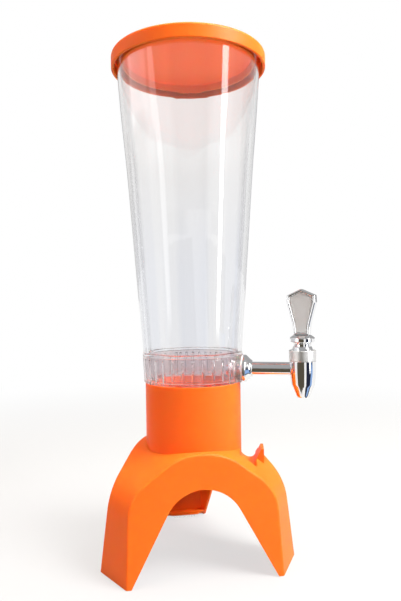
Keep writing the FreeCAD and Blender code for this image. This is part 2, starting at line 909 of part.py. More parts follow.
tap_pieces = {
    "tap_shank": tap_shank,
    "tap_flange": tap_flange,
    "flange_washer": flange_washer,
    "inner_washer": inner_washer,
    "lock_nut": lock_nut,
    "faucet_body": faucet_body,
    "coupling_washer": coupling_washer,
    "lever_bonnet": lever_bonnet,
    "ball_washer": ball_washer,
    "tap_lever": tap_lever,
    "handle_ferrule": handle_ferrule,
    "handle_frame": handle_frame,
    "valve_shaft": valve_shaft,
    "shaft_seal": shaft_seal,
    "seal_nut": seal_nut,
}
for name, make in tap_pieces.items():
    save(name, turned(make(), tap_azimuth))
for side, towards in (("front", -1), ("back", 1)):
    save(f"handle_panel_{side}", turned(handle_panel(towards), tap_azimuth))
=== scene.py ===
import math
import bmesh
import bpy
import numpy as np
from mathutils import Matrix, Vector


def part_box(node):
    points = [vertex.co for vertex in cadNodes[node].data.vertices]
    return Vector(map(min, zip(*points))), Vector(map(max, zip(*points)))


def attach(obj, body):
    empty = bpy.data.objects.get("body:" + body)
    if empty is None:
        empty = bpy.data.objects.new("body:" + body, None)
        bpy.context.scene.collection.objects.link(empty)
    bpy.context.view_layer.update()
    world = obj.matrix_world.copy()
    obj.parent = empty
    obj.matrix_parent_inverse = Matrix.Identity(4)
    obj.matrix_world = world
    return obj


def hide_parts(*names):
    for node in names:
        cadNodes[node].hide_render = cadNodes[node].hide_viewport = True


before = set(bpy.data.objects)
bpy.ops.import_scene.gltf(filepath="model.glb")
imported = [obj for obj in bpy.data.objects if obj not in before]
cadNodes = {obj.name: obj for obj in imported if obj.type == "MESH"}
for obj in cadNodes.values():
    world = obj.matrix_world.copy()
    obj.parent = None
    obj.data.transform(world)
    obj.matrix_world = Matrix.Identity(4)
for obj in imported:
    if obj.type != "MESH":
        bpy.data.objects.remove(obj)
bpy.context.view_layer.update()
scene = bpy.context.scene
mm = 0.001  # shapes are worked out in millimetres, meshes hold metres


def boxOf(node):
    low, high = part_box(node)
    return np.array(low) / mm, np.array(high) / mm


# The camera stands in front of the tower, a little under half its height.
view = {
    "place": (-0.001876, -0.57301, 0.25957),
    "yaw": 0.0188,
    "pitch": -0.0059,
    "roll": -0.0155,
    "lens": 33.51,
    "sensor": 36.0,
}


def placeCamera():
    yaw, pitch, roll = view["yaw"], view["pitch"], view["roll"]
    forward = np.array([math.sin(yaw) * math.cos(pitch), math.cos(yaw) * math.cos(pitch), math.sin(pitch)])
    level = np.array([math.cos(yaw), -math.sin(yaw), 0.0])
    upright = np.cross(level, forward)
    right = math.cos(roll) * level + math.sin(roll) * upright
    up = math.cos(roll) * upright - math.sin(roll) * level
    data = bpy.data.cameras.new("camera")
    data.sensor_fit = "VERTICAL"
    data.sensor_height = view["sensor"]
    data.lens = view["lens"]
    camera = bpy.data.objects.new("camera", data)
    turn = Matrix([[float(v) for v in row] for row in np.column_stack([right, up, -forward])]).to_4x4()
    turn.translation = view["place"]
    camera.matrix_world = turn
    scene.collection.objects.link(camera)
    scene.camera = camera


placeCamera()
print("camera placed")


# Shader arithmetic: a wrapped socket adds one Math node for each operator.
class Amount:
    def __init__(self, tree, socket):
        self.tree = tree
        self.socket = socket

    def maths(self, operation, other=0.0, swapped=False):
        made = self.tree.nodes.new("ShaderNodeMath")
        made.operation = operation
        for place, value in zip((1, 0) if swapped else (0, 1), (self, other)):
            if isinstance(value, Amount):
                self.tree.links.new(value.socket, made.inputs[place])
            else:
                made.inputs[place].default_value = value
        return Amount(self.tree, made.outputs[0])

    def __add__(self, other):
        return self.maths("ADD", other)

    def __sub__(self, other):
        return self.maths("SUBTRACT", other)

    def __rsub__(self, other):
        return self.maths("SUBTRACT", other, True)

    def __mul__(self, other):
        return self.maths("MULTIPLY", other)

    def __truediv__(self, other):
        return self.maths("DIVIDE", other)

    def __rtruediv__(self, other):
        return self.maths("DIVIDE", other, True)

    def __pow__(self, other):
        return self.maths("POWER", other)

    __radd__ = __add__
    __rmul__ = __mul__

    def atMost(self, other):
        return self.maths("MINIMUM", other)

    def atLeast(self, other):
        return self.maths("MAXIMUM", other)


class Finish:
    def __init__(self, name, owner=None):
        self.owner = owner or bpy.data.materials.new(name)
        self.owner.use_nodes = True
        self.tree = self.owner.node_tree
        self.tree.nodes.clear()

    # One node of a type, with its settings set first and then the values or links of its sockets.
    def node(self, kind, settings=None, inputs=None, out=0):
        made = self.tree.nodes.new("ShaderNode" + kind)
        for key, value in (settings or {}).items():
            if key == "stops":
                for i, (place, shade) in enumerate(value):
                    stops = made.color_ramp.elements
                    stop = stops[i] if i < 2 else stops.new(place)
                    stop.position = place
                    stop.color = shade if len(shade) == 4 else (*shade, 1)
            else:
                setattr(made, key, value)
        for key, value in (inputs or {}).items():
            if isinstance(value, Amount):
                self.tree.links.new(value.socket, made.inputs[key])
            else:
                made.inputs[key].default_value = value
        return Amount(self.tree, made.outputs[out])

    def place(self):
        return self.node("TexCoord", out="Object")

    def split(self, vector):
        made = self.node("SeparateXYZ", None, {0: vector}).socket.node
        return [Amount(self.tree, socket) for socket in made.outputs]

    def noise(self, scale, detail=2.0, stretch=(1, 1, 1)):
        spot = self.node("Mapping", None, {"Vector": self.place(), "Scale": stretch})
        return self.node("TexNoise", None, {"Vector": spot, "Scale": scale, "Detail": detail})

    def mix(self, share, first, second):
        return self.node("Mix", {"data_type": "RGBA"}, {0: share, 6: first, 7: second}, out=2)

    def bump(self, height, strength, distance):
        return self.node("Bump", None, {"Height": height, "Strength": strength, "Distance": distance})

    # 1 for a ray of any of the named kinds, else 0.
    def path(self, *rays):
        made = self.node("LightPath").socket.node
        found = [Amount(self.tree, made.outputs[f"Is {ray} Ray"]) for ray in rays]
        total = found[0]
        for ray in found[1:]:
            total = total.atLeast(ray)
        return total

    def finish(self, surface, kind="Material"):
        out = self.tree.nodes.new(f"ShaderNodeOutput{kind}")
        self.tree.links.new(surface.socket, out.inputs["Surface"])
        return self.owner


# Eased step: 0 at low, 1 at high and a cubic curve between; low may be the larger of the two.
def smooth(value, low, high):
    share = ((value - low) / (high - low)).atLeast(0.0).atMost(1.0)
    return share * share * (3.0 - 2.0 * share)


def darker(colour, share):
    return tuple(share * part for part in colour[:3]) + (1,)


# Moulded plastic: satin, with broad tone changes, a fine grain in the surface and slightly uneven gloss.
orange = {
    "colour": (0.92, 0.150, 0.013, 1),
    "warm": (0.94, 0.175, 0.015, 1),
    "patch": 9.0,  # noise scales: broad patches, clouds and grain
    "cloud": 55.0,
    "grain": 900.0,
    "roughness": 0.42,
    "unevenness": 0.10,
    "grainRoughness": 0.06,
    "ior": 1.5,
    "gloss": 0.11,
    "through": 0.5,
    "throughColours": (1.0, 0.22, 0.06),
    "throughReach": 0.005,
    "bump": 0.12,
    "bumpDepth": 0.0002,
}


def orangeFinish(name, warmth):
    look = Finish(name)
    patches = look.noise(orange["patch"], 3.0)
    grain = look.noise(orange["grain"], 2.0)
    cloudy = look.noise(orange["cloud"], 4.0)
    uneven = (cloudy - 0.5) * orange["unevenness"] + (grain - 0.5) * orange["grainRoughness"]
    surface = look.node("BsdfPrincipled", None, {
        "Base Color": look.mix(patches * 0.7 + warmth, orange["colour"], orange["warm"]),
        "Roughness": orange["roughness"] + uneven,
        "IOR": orange["ior"],
        "Specular IOR Level": orange["gloss"],
        "Subsurface Weight": orange["through"],
        "Subsurface Radius": orange["throughColours"],
        "Subsurface Scale": orange["throughReach"],
        "Normal": look.bump(grain + cloudy * 0.6, orange["bump"], orange["bumpDepth"]),
    })
    return look.finish(surface)


# Clear plastic: refracting, with slow ripples from the mould. Shadow rays pass straight through with a faint
# tint, so lamps light what stands behind it. Heights and reaches are in metres.
clear = {
    "skirt": (0.81, 0.73, 0.735, 1),
    "silicone": (0.95, 0.93, 0.92, 1),
    "warm": (0.912, 0.902, 0.896, 1),  # the cup's upper part
    "cool": (0.880, 0.892, 0.930, 1),  # and its lower part
    "toneFrom": 0.26,
    "toneTo": 0.42,
    "highlightTint": (0.992, 0.99, 0.988, 1),  # painted highlight streaks on the cup
    # Painted shade: the cup's and the skirt's walls turn darker at the far left and right.
    "shadedSidesCup": (0.80, 0.80, 0.81, 1),  # painted shade on the cup's walls at the far left and right
    "shadedSidesSkirt": (0.66, 0.60, 0.61, 1),
    "sideShadeFrom": 0.93,  # cosine of the bearing from the left or right side
    "sideShadeTo": 0.99,
    "bandLow": 0.45,  # the painted side shade fades out between these heights
    "bandHigh": 0.48,
    "shadowTint": (0.93, 0.93, 0.94, 1),
    "roughness": 0.02,
    "unevenness": 0.02,
    "ior": 1.57,
    "slow": 14.0,
    "fine": 240.0,
    "ripple": 0.06,
    "rippleDepth": 0.002,
    "sway": 0.03,
    "floorTop": 0.1794,  # the cup's floor is partly see-through, so its mirror image stays faint
    "floorReach": 0.044,
    "floorEdge": (0.0003, 0.0005),
    "floorAlpha": 0.08,
    "paintedHighlights": [  # (degrees round the axis, strength of the painted highlight)
        (0, 0.3), (24, 0.3), (31, 1.0), (62, 1.0), (70, 0.35), (118, 0.25), (128, 0.8), (150, 0.6),
        (166, 0.9), (205, 0.3), (229, 0.1), (238, 1.0), (253, 1.0), (259, 0.35), (270, 0.4), (283, 0.15),
        (291, 0.7), (299, 0.8), (306, 0.2), (325, 0.0), (334, 0.8), (345, 0.8), (352, 0.3),
    ],
}


# With no colour given the finish is the cup's, with painted highlights streaked round its axis, and toned by
# height.
def clearFinish(name, colour, ripple, stretch=(1, 1, 1), sideShade=None):
    look = Finish(name)
    slow = look.noise(clear["slow"], 2.0, stretch)
    fine = look.noise(clear["fine"], 1.0, stretch)
    x, y, z = look.split(look.place())
    reach = (x * x + y * y) ** 0.5
    # Share of painted side shade: full where the wall faces straight left or right.
    sides = smooth((x * x) ** 0.5 / reach, clear["sideShadeFrom"], clear["sideShadeTo"])
    alpha = 1.0
    if colour is None:
        # Painted highlights: streaks round the axis turn the tint towards near white.
        around = y.maths("ARCTAN2", x) * (0.5 / math.pi) + 0.5 + (slow - 0.5) * clear["sway"]
        stops = [((angle / 360 + 0.5) % 1, (light, light, light)) for angle, light in clear["paintedHighlights"]]
        light = look.node("ValToRGB", {"stops": sorted(stops)}, {0: around})
        tone = look.mix(smooth(z, clear["toneFrom"], clear["toneTo"]), clear["cool"], clear["warm"])
        tint = look.mix(light, tone, clear["highlightTint"])
        sides = sides * smooth(z, clear["bandHigh"], clear["bandLow"])
        top, far = clear["floorTop"], clear["floorReach"]
        overFloor = smooth(z, top - clear["floorEdge"][0], top)
        pastFloor = smooth(reach, far - clear["floorEdge"][1], far)
        alpha = 1.0 - (1.0 - overFloor) * (1.0 - pastFloor) * (1 - clear["floorAlpha"])
    else:
        tint = look.mix(slow, colour, darker(colour, 0.985))
    # Painted shade darkens the walls at the far left and right.
    if sideShade:
        tint = look.mix(sides, tint, sideShade)
    surface = look.node("BsdfPrincipled", None, {
        "Base Color": tint,
        "Roughness": clear["roughness"] + (fine - 0.5) * clear["unevenness"],
        "IOR": clear["ior"],
        "Transmission Weight": 1.0,
        "Alpha": alpha,
        "Normal": look.bump(slow, ripple, clear["rippleDepth"]),
    })
    shadow = look.node("BsdfTransparent", None, {"Color": clear["shadowTint"]})
    return look.finish(look.node("MixShader", None, {0: look.path("Shadow"), 1: surface, 2: shadow}))


# Bright metal: mirror plating with fine uneven gloss, or turned steel with rings round its axis.
metal = {
    "chrome": (0.90, 0.90, 0.905, 1),
    "satin": (0.76, 0.75, 0.73, 1),
    "steel": (0.62, 0.61, 0.60, 1),
    "cloud": 60.0,
    "rings": 1400.0,
    "ringStretch": (0.15, 0.15, 1.0),
    "dark": 0.94,
    "unevenness": 0.8,
    "bump": 0.03,
    "bumpDepth": 0.0002,
}


def metalFinish(name, colour, roughness, scratch):
    look = Finish(name)
    cloudy = look.noise(metal["cloud"], 3.0)
    rings = look.noise(metal["rings"], 1.0, metal["ringStretch"])
    surface = look.node("BsdfPrincipled", None, {
        "Base Color": look.mix(cloudy, colour, darker(colour, metal["dark"])),
        "Metallic": 1.0,
        "Roughness": roughness + (cloudy - 0.5) * roughness * metal["unevenness"] + rings * scratch,
        "Normal": look.bump(rings + cloudy, metal["bump"] + scratch, metal["bumpDepth"]),
    })
    return look.finish(surface)


# Soft or matt parts: a powdery tone change and a fine grain.
matt = {
    "panel": (0.565, 0.61, 0.615, 1),
    "rubber": (0.72, 0.71, 0.69, 1),
    "cloud": 80.0,
    "dark": 0.9,
    "unevenness": 0.12,
    "throughReach": 0.003,
    "bump": 0.15,
    "bumpDepth": 0.0002,
}


def mattFinish(name, colour, roughness, grain, through=0.0):
    look = Finish(name)
    cloudy = look.noise(matt["cloud"], 3.0)
    speckle = look.noise(grain, 2.0)
    surface = look.node("BsdfPrincipled", None, {
        "Base Color": look.mix(cloudy, colour, darker(colour, matt["dark"])),
        "Roughness": roughness + (speckle - 0.5) * matt["unevenness"],
        "Subsurface Weight": through,
        "Subsurface Scale": matt["throughReach"],
        "Normal": look.bump(speckle, matt["bump"], matt["bumpDepth"]),
    })
    return look.finish(surface)


finishes = {
    "orange": orangeFinish("orangePlastic", warmth=0.1),
    "lidOrange": orangeFinish("orangeLidPlastic", warmth=0.2),
    "clear": clearFinish("clearCupPlastic", None, clear["ripple"], (1, 1, 0.25), clear["shadedSidesCup"]),
    "skirt": clearFinish("clearSkirtPlastic", clear["skirt"], 0.15, sideShade=clear["shadedSidesSkirt"]),
    "chrome": metalFinish("chromePlate", metal["chrome"], roughness=0.045, scratch=0.01),
    "satin": metalFinish("satinChrome", metal["satin"], roughness=0.4, scratch=0.02),
    "steel": metalFinish("turnedSteel", metal["steel"], roughness=0.2, scratch=0.12),
    "panel": mattFinish("greyInset", matt["panel"], roughness=0.42, grain=700.0),
    "seal": mattFinish("milkyRubber", matt["rubber"], roughness=0.5, grain=500.0, through=0.3),
    "clearSeal": clearFinish("clearSilicone", clear["silicone"], 0.1),
}
print("finishes made")


# A mesh from corner points in millimetres; faces are turned outwards by the sign of the enclosed volume.
def putMesh(name, points, quads, triangles):
    fans = np.concatenate([quads[:, [0, 1, 2]], quads[:, [0, 2, 3]], triangles])
    a, b, c = points[fans[:, 0]], points[fans[:, 1]], points[fans[:, 2]]
    if np.einsum("ij,ij->i", a, np.cross(b, c)).sum() < 0:
        quads, triangles = quads[:, ::-1], triangles[:, ::-1]
    mesh = bpy.data.meshes.new(name)
    mesh.vertices.add(len(points))
    mesh.vertices.foreach_set("co", (points * mm).astype(np.float32).ravel())
    corners = np.concatenate([quads.ravel(), triangles.ravel()])
    sizes = np.concatenate([np.full(len(quads), 4), np.full(len(triangles), 3)])
    mesh.loops.add(len(corners))
    mesh.loops.foreach_set("vertex_index", corners.astype(np.int32))
    mesh.polygons.add(len(sizes))
    mesh.polygons.foreach_set("loop_start", (np.cumsum(sizes) - sizes).astype(np.int32))
    mesh.polygons.foreach_set("use_smooth", np.ones(len(sizes), bool))
    mesh.update(calc_edges=True)
    mesh.validate()
    piece = bpy.data.objects.new(name, mesh)
    scene.collection.objects.link(piece)
    return piece


# A grid of points (rows, columns, 3). Columns always close; rows close too, or each end is a fan round its
# middle.
def gridPiece(name, points, closed=False):
    rows, columns = points.shape[:2]
    ids = np.arange(rows * columns).reshape(rows, columns)
    following = np.roll(ids, -1, axis=1)
    if closed:
        next1 = np.roll(ids, -1, axis=0)
        next2 = np.roll(following, -1, axis=0)
        quads = np.stack([ids, following, next2, next1], axis=-1).reshape(-1, 4)
        return putMesh(name, points.reshape(-1, 3), quads, np.zeros((0, 3), int))
    quads = np.stack([ids[:-1], following[:-1], following[1:], ids[1:]], axis=-1).reshape(-1, 4)
    flat = points.reshape(-1, 3)
    ends = np.array([points[0].mean(axis=0), points[-1].mean(axis=0)])
    first, last = len(flat), len(flat) + 1
    below = np.stack([following[0], ids[0], np.full(columns, first)], axis=-1)
    above = np.stack([ids[-1], following[-1], np.full(columns, last)], axis=-1)
    return putMesh(name, np.concatenate([flat, ends]), quads, np.concatenate([below, above]))


# Straight runs through corners (a, b) or (a, b, radius): a rounded corner is an arc tangent to both runs,
# and a point stands just past each end of an arc so that the flats beside it stay flat.
def roundedLine(corners, closed=False, step=math.radians(10), hold=0.25):
    spots = np.array([corner[:2] for corner in corners], float)
    line = []
    for i, corner in enumerate(corners):
        here = spots[i]
        if len(corner) < 3 or (not closed and i in (0, len(corners) - 1)):
            line.append([here])
            continue
        back = spots[i - 1] - here
        ahead = spots[(i + 1) % len(spots)] - here
        backRun, aheadRun = np.linalg.norm(back), np.linalg.norm(ahead)
        back, ahead = back / backRun, ahead / aheadRun
        half = math.acos(np.clip(back @ ahead, -1, 1)) / 2
        run = corner[2] / math.tan(half)
        middle = (back + ahead) / np.linalg.norm(back + ahead)
        centre = here + middle * corner[2] / math.sin(half)
        sweep = math.pi - 2 * half
        count = max(3, math.ceil(sweep / step) + 1)
        start = here + back * run - centre
        angles = np.linspace(0, sweep, count)
        side = np.sign(start[0] * (here[1] - centre[1]) - start[1] * (here[0] - centre[0]))
        c, s = np.cos(angles), np.sin(angles) * side
        arc = centre + np.stack([start[0] * c - start[1] * s, start[0] * s + start[1] * c], axis=-1)
        before = here + back * min(run + hold, 0.5 * (run + backRun))
        after = here + ahead * min(run + hold, 0.5 * (run + aheadRun))
        line.append(np.concatenate([[before], arc, [after]]))
    return np.concatenate(line)


# A profile (distance from the axis, height along it) carried round an axis. An open profile starts and ends
# on the axis, where its end points give way to a fan.
def spin(name, profile, columns=128, origin=(0, 0, 0), axis=(0, 0, 1), closed=True):
    axis = np.array(axis, float)
    sideways = np.cross(axis, (0, 0, 1)) if abs(axis[2]) < 0.9 else np.array([1.0, 0, 0])
    sideways /= np.linalg.norm(sideways)
    other = np.cross(axis, sideways)
    angles = np.linspace(0, 2 * np.pi, columns, endpoint=False)
    circle = np.cos(angles)[:, None] * sideways + np.sin(angles)[:, None] * other
    points = np.array(origin) + profile[:, 1, None, None] * axis + profile[:, 0, None, None] * circle
    if not closed:
        points = points[1:-1]
    return gridPiece(name, points, closed)


# Gives a piece its finish and body, and hides the CAD node that it stands in for.
def keep(piece, body, finish, node):
    piece.data.materials.clear()
    piece.data.materials.append(finishes[finish])
    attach(piece, body)
    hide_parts(node)


# A CAD node's own mesh, joined up and shaded smooth between edges sharper than an angle.
def smoothCopy(node, name, body, finish, angle=32.0):
    mesh = cadNodes[node].data.copy()
    mesh.name = name
    if "custom_normal" in mesh.attributes:
        mesh.attributes.remove(mesh.attributes["custom_normal"])
    work = bmesh.new()
    work.from_mesh(mesh)
    bmesh.ops.remove_doubles(work, verts=work.verts, dist=0.002 * mm)
    work.to_mesh(mesh)
    work.free()
    mesh.polygons.foreach_set("use_smooth", np.ones(len(mesh.polygons), bool))
    mesh.set_sharp_from_angle(angle=math.radians(angle))
    piece = bpy.data.objects.new(name, mesh)
    scene.collection.objects.link(piece)
    weighted = piece.modifiers.new("evenShading", "WEIGHTED_NORMAL")
    weighted.keep_sharp = True
    keep(piece, body, finish, node)


# Tripod, pads and screws
smoothCopy("tripod_base", "tripodShell", "base", "orange", 30.0)
for side in ("right", "rear", "left"):
    smoothCopy(f"foot_pad_{side}", f"footPad.{side}", "base", "clearSeal")
smoothCopy("collar_screws", "collarScrews", "base", "steel")


# Collar: an upright tube with a softened lip and an inward flange at its foot.
collar = {
    "wall": 2.8,
    "flangeWidth": 11.0,
    "flangeHeight": 5.0,
    "lipRounding": 0.7,
    "footRounding": 0.3,
    "columns": 192,
}


def makeCollar():
    low, high = boxOf("collar_tube")
    outer, foot, lip = high[0], low[2], high[2]
    inner = outer - collar["wall"]
    hole = inner - collar["flangeWidth"]
    shelf = foot + collar["flangeHeight"]
    footRounding, lipRounding = collar["footRounding"], collar["lipRounding"]
    profile = roundedLine([
        (hole, foot, footRounding), (outer, foot, footRounding), (outer, lip, lipRounding),
        (inner, lip, lipRounding), (inner, shelf, 0.8), (hole, shelf, 0.5),
    ], closed=True)
    keep(spin("collarTube", profile, collar["columns"]), "base", "orange", "collar_tube")


makeCollar()
print("base made")

# Cup: a tall cone with flat flutes pressed into it, a neck below its step and a floor.
cup = {
    "step": 201.6,
    "stepRadius": 50.8,
    "rimRadius": 73.2,
    "wall": 2.8,
    "neck": 47.4,
    "floor": 178.9,
    "flutes": 8,
    "firstFlute": 2.0,
    "fluteHalf": 18.0,
    "fluteDepth": 0.8,
    "fluteTop": 448.0,
    "archHeight": 21.0,
    "archEdge": 5.0,
    "archStep": 0.06,  # share of a flute's depth that its arch ends
    "easing": 75.0,  # and the height over which the rest fades out
    "fadeIn": 3.0,
    "gateMark": [  # corners (radius, height over the underside, rounding)
        (0, -0.35), (3.4, -0.35, 0.3), (3.9, 0, 0.3), (4.8, 0, 0.2), (5.2, 0.5, 0.3), (6.2, 0.5, 0.3),
        (6.8, 0, 0.3),
    ],
    "archFrom": 418.0,  # the rows stand closer from here
    "archTo": 451.0,
    "rows": (62, 33, 14, 24),  # below the arches, at them, above them, and inside
    "fluteColumns": 24,
    "edge": 0.4,  # degrees between the columns beside a flute's edge
}


# The plain cone's radius grows evenly from the step to the rim.
def coneRadius(z):
    rim = boxOf("cup")[1][2]
    share = (z - cup["step"]) / (rim - cup["step"])
    return cup["stepRadius"] + share * (cup["rimRadius"] - cup["stepRadius"])


# Depth of a flute below the plain cone: the gap between the cone's circle and a flatter circle through the
# flute's two edges. It eases off towards the top, and what is left ends along a round arch.
def fluteDepth(turn, z):
    half = math.radians(cup["fluteHalf"])
    radius = coneRadius(z)
    sag = radius * (1 - math.cos(half)) - cup["fluteDepth"] * radius / cup["stepRadius"]
    chord = radius * math.sin(half)
    flat = (chord ** 2 + sag ** 2) / (2 * sag)
    middle = radius * math.cos(half) + sag - flat
    depth = radius - (middle * np.cos(turn) + np.sqrt(flat ** 2 - (middle * np.sin(turn)) ** 2))
    shoulderHalf = coneRadius(cup["fluteTop"] - cup["archHeight"]) * math.sin(half)
    bend = (shoulderHalf ** 2 + cup["archHeight"] ** 2) / (2 * cup["archHeight"])
    rise = np.maximum(z - (cup["fluteTop"] - bend), 0)
    inside = np.clip((bend - np.hypot(radius * np.sin(turn), rise)) / cup["archEdge"], 0, 1)
    depth = np.where(np.abs(turn) < half, np.maximum(depth, 0), 0)
    below = np.clip((cup["fluteTop"] - z) / cup["easing"], 0, 1)
    kept = cup["archStep"] + (1 - cup["archStep"]) * below * below * (3 - 2 * below)
    return depth * kept * inside * inside * (3 - 2 * inside)


# Rows follow the cup's section from the middle of the floor's underside round the rim to the floor's top.
# Columns stand closer beside each flute's edges. A flute moves the outer wall inwards by its depth; the inner
# wall is plain.
def makeCup():
    low, high = boxOf("cup")
    base, rim, wall, step, neck = low[2], high[2], cup["wall"], cup["step"], cup["neck"]
    belowRows, archRows, aboveRows, insideRows = cup["rows"]
    half, edge = cup["fluteHalf"], cup["edge"]
    sector = 360.0 / cup["flutes"]
    turn = np.concatenate([
        np.linspace(-sector / 2, -half - 0.9, 4), [-half - edge, -half, -half + edge],
        np.linspace(-half + 3 * edge, half - 3 * edge, cup["fluteColumns"]), [half - edge, half, half + edge],
        np.linspace(half + 0.9, sector / 2, 4)[:-1],
    ])
    gate = [(radius, base + height, *rounding) for radius, height, *rounding in cup["gateMark"]]
    foot = roundedLine(gate + [
        (neck, base, 1.0), (neck, step, 0.4), (cup["stepRadius"], step, 0.5),
        (coneRadius(step + 4), step + 4),
    ])
    archFrom, archTo = cup["archFrom"], cup["archTo"]
    heights = np.concatenate([
        np.linspace(step + 5, archFrom, belowRows), np.linspace(archFrom + 1, archTo, archRows),
        np.linspace(archTo + 3, rim - 3, aboveRows),
    ])
    cone = np.stack([coneRadius(heights), heights], axis=-1)
    lip = roundedLine([
        (coneRadius(rim - 2), rim - 2), (cup["rimRadius"], rim, 0.9), (cup["rimRadius"] - wall, rim, 0.9),
        (coneRadius(rim - 2) - wall, rim - 2),
    ])
    inner = np.linspace(rim - 6, step + 8, insideRows)
    inside = np.stack([coneRadius(inner) - wall, inner], axis=-1)
    ledge = step + wall
    well = roundedLine([
        (coneRadius(step + 7) - wall, step + 7), (coneRadius(ledge) - wall, ledge, 0.8),
        (neck - wall, ledge, 0.8), (neck - wall, cup["floor"], 2.0), (0, cup["floor"]),
    ])
    profile = np.concatenate([foot, cone, lip, inside, well])
    starts = cup["firstFlute"] + sector * np.arange(cup["flutes"])
    angles = np.radians((starts[:, None] + turn).ravel())
    local = np.radians(np.tile(turn, cup["flutes"]))
    radius = np.repeat(profile[:, :1], len(angles), axis=1)
    height = np.repeat(profile[:, 1:], len(angles), axis=1)
    overStep = profile[:, 1] - step - 0.6
    fluted = (np.arange(len(profile)) < len(foot) + len(cone)) & (overStep > 0)
    fade = np.clip(overStep / cup["fadeIn"], 0, 1)[:, None]
    radius -= np.where(fluted[:, None], fluteDepth(local[None, :], np.maximum(height, step)) * fade, 0)
    points = np.stack([radius * np.cos(angles), radius * np.sin(angles), height], axis=-1)[1:-1]
    keep(gridPiece("clearCup", points), "cup", "clear", "cup")


makeCup()

# Grip skirt with its plug
skirt = {
    "ribs": 32,
    "grooveRadius": 1.6,
    "grooveDepth": 0.7,
    "plate": 2.3,
    "bossRadius": 15.5,
    "bossFace": 51.2,
    "plug": 44.9,
    "plugWall": 4.0,
    "ringGroove": 166.2,
    "ringHalf": 1.6,
    "ringDepth": 2.9,
    "collarTop": 174.7,
    "lowRadius": 49.6,
    "topRadius": 50.8,
    "inside": 47.55,
    "plateTop": 176.9,
    "plateUnder": 168.0,
    "columns": [0.196, 0.32, 0.5, 0.68, 0.804],  # shares of a rib's turn, between one groove and the next
    "grooveColumns": 13,
    "grooveEdge": 0.172,
}
tap = {"azimuth": -14.0, "height": 187.7, "reach": 110.9}
tapOut = np.array([math.cos(math.radians(tap["azimuth"])), math.sin(math.radians(tap["azimuth"])), 0.0])


# Ribbed ring: each groove is a circle cut into the outer face, so its wall lies at the circle's near side. The
# grooves end under the top plate. A flat round boss stands out to a plane square to the tap.
def makeSkirt():
    low, high = boxOf("grip_skirt")
    plug, foot, top, bottom = skirt["plug"], low[2], high[2], skirt["collarTop"]
    hollow = plug - skirt["plugWall"]
    ringBed = plug - skirt["ringDepth"]
    ringLow, ringHigh = skirt["ringGroove"] - skirt["ringHalf"], skirt["ringGroove"] + skirt["ringHalf"]
    lowRadius, topRadius, plateTop = skirt["lowRadius"], skirt["topRadius"], skirt["plateTop"]
    plugSide = roundedLine([
        (hollow, skirt["plateUnder"]), (hollow, foot, 0.4), (plug, foot, 1.0), (plug, ringLow, 0.2),
        (ringBed, ringLow, 0.2), (ringBed, ringHigh, 0.2), (plug, ringHigh, 0.2), (plug, bottom, 0.2),
        (lowRadius, bottom, 0.6), (lowRadius + 0.1, bottom + 1.5),
    ])
    underPlate = top - skirt["plate"]
    heights = np.concatenate([
        np.linspace(bottom + 2, underPlate - 1.2, 26), np.linspace(underPlate - 0.9, underPlate + 0.3, 5),
    ])
    share = (heights - bottom) / (top - bottom)
    side = np.stack([lowRadius + share * (topRadius - lowRadius), heights], axis=-1)
    inner = roundedLine([
        (topRadius - 0.1, top - 1.6), (topRadius, top, 0.4), (skirt["inside"], top, 0.3),
        (skirt["inside"], plateTop, 0.3), (hollow, plateTop, 0.4),
    ])
    profile = np.concatenate([plugSide, side, inner[:-1], [[hollow, plateTop - 0.5]]])
    turn = 2 * np.pi / skirt["ribs"]
    inGroove = np.linspace(-skirt["grooveEdge"], skirt["grooveEdge"], skirt["grooveColumns"])
    shares = np.concatenate([inGroove, skirt["columns"]])
    angles = (turn * (np.arange(skirt["ribs"])[:, None] + shares)).ravel()
    radius = np.repeat(profile[:, :1], len(angles), axis=1)
    height = np.repeat(profile[:, 1:], len(angles), axis=1)
    outside = (profile[:, 0] > lowRadius - 1.2)[:, None] & (height < top - 0.3)
    offset = (np.mod(angles + turn / 2, turn) - turn / 2)[None, :]
    centre = lowRadius + skirt["grooveRadius"] - skirt["grooveDepth"]
    reach = skirt["grooveRadius"] ** 2 - (centre * np.sin(offset)) ** 2
    cutTo = np.where(reach > 0, centre * np.cos(offset) - np.sqrt(np.maximum(reach, 0)), np.inf)
    ceiling = np.clip((underPlate - height) / 0.8, 0, 1)
    depth = np.maximum(radius - cutTo, 0) * ceiling
    radius = np.where(outside, radius - depth, radius)
    away = angles - math.radians(tap["azimuth"])
    across = radius * np.sin(away)[None, :]
    facing = (np.cos(away) > 0.8)[None, :]
    flat = skirt["bossFace"] / np.maximum(np.cos(away), 0.5)[None, :]
    spread = np.hypot(across, height - tap["height"])
    boss = outside & facing & (spread < skirt["bossRadius"])
    radius = np.where(boss, np.maximum(radius, flat), radius)
    points = np.stack([radius * np.cos(angles), radius * np.sin(angles), height], axis=-1)
    keep(gridPiece("clearSkirt", points, True), "cup", "skirt", "grip_skirt")


makeSkirt()
smoothCopy("plug_o_ring", "plugRing", "cup", "clearSeal", 60.0)
print("cup made")


# Lid: a shallow push-on cap with a rounded shoulder, an inner ring and a slightly sunk top with a small mark
# at its middle.
lid = {
    "radius": 78.0,
    "wall": 2.6,
    "thickness": 3.0,
    "shoulder": 3.0,
    "ringRadius": 67.6,
    "ringWall": 2.2,
    "ringDrop": 7.6,
    "sunkFrom": 66.0,
    "sunkTo": 64.0,
    "sunk": 0.5,
    "markRadius": 4.0,
    "mark": 0.8,
    "columns": 224,
}


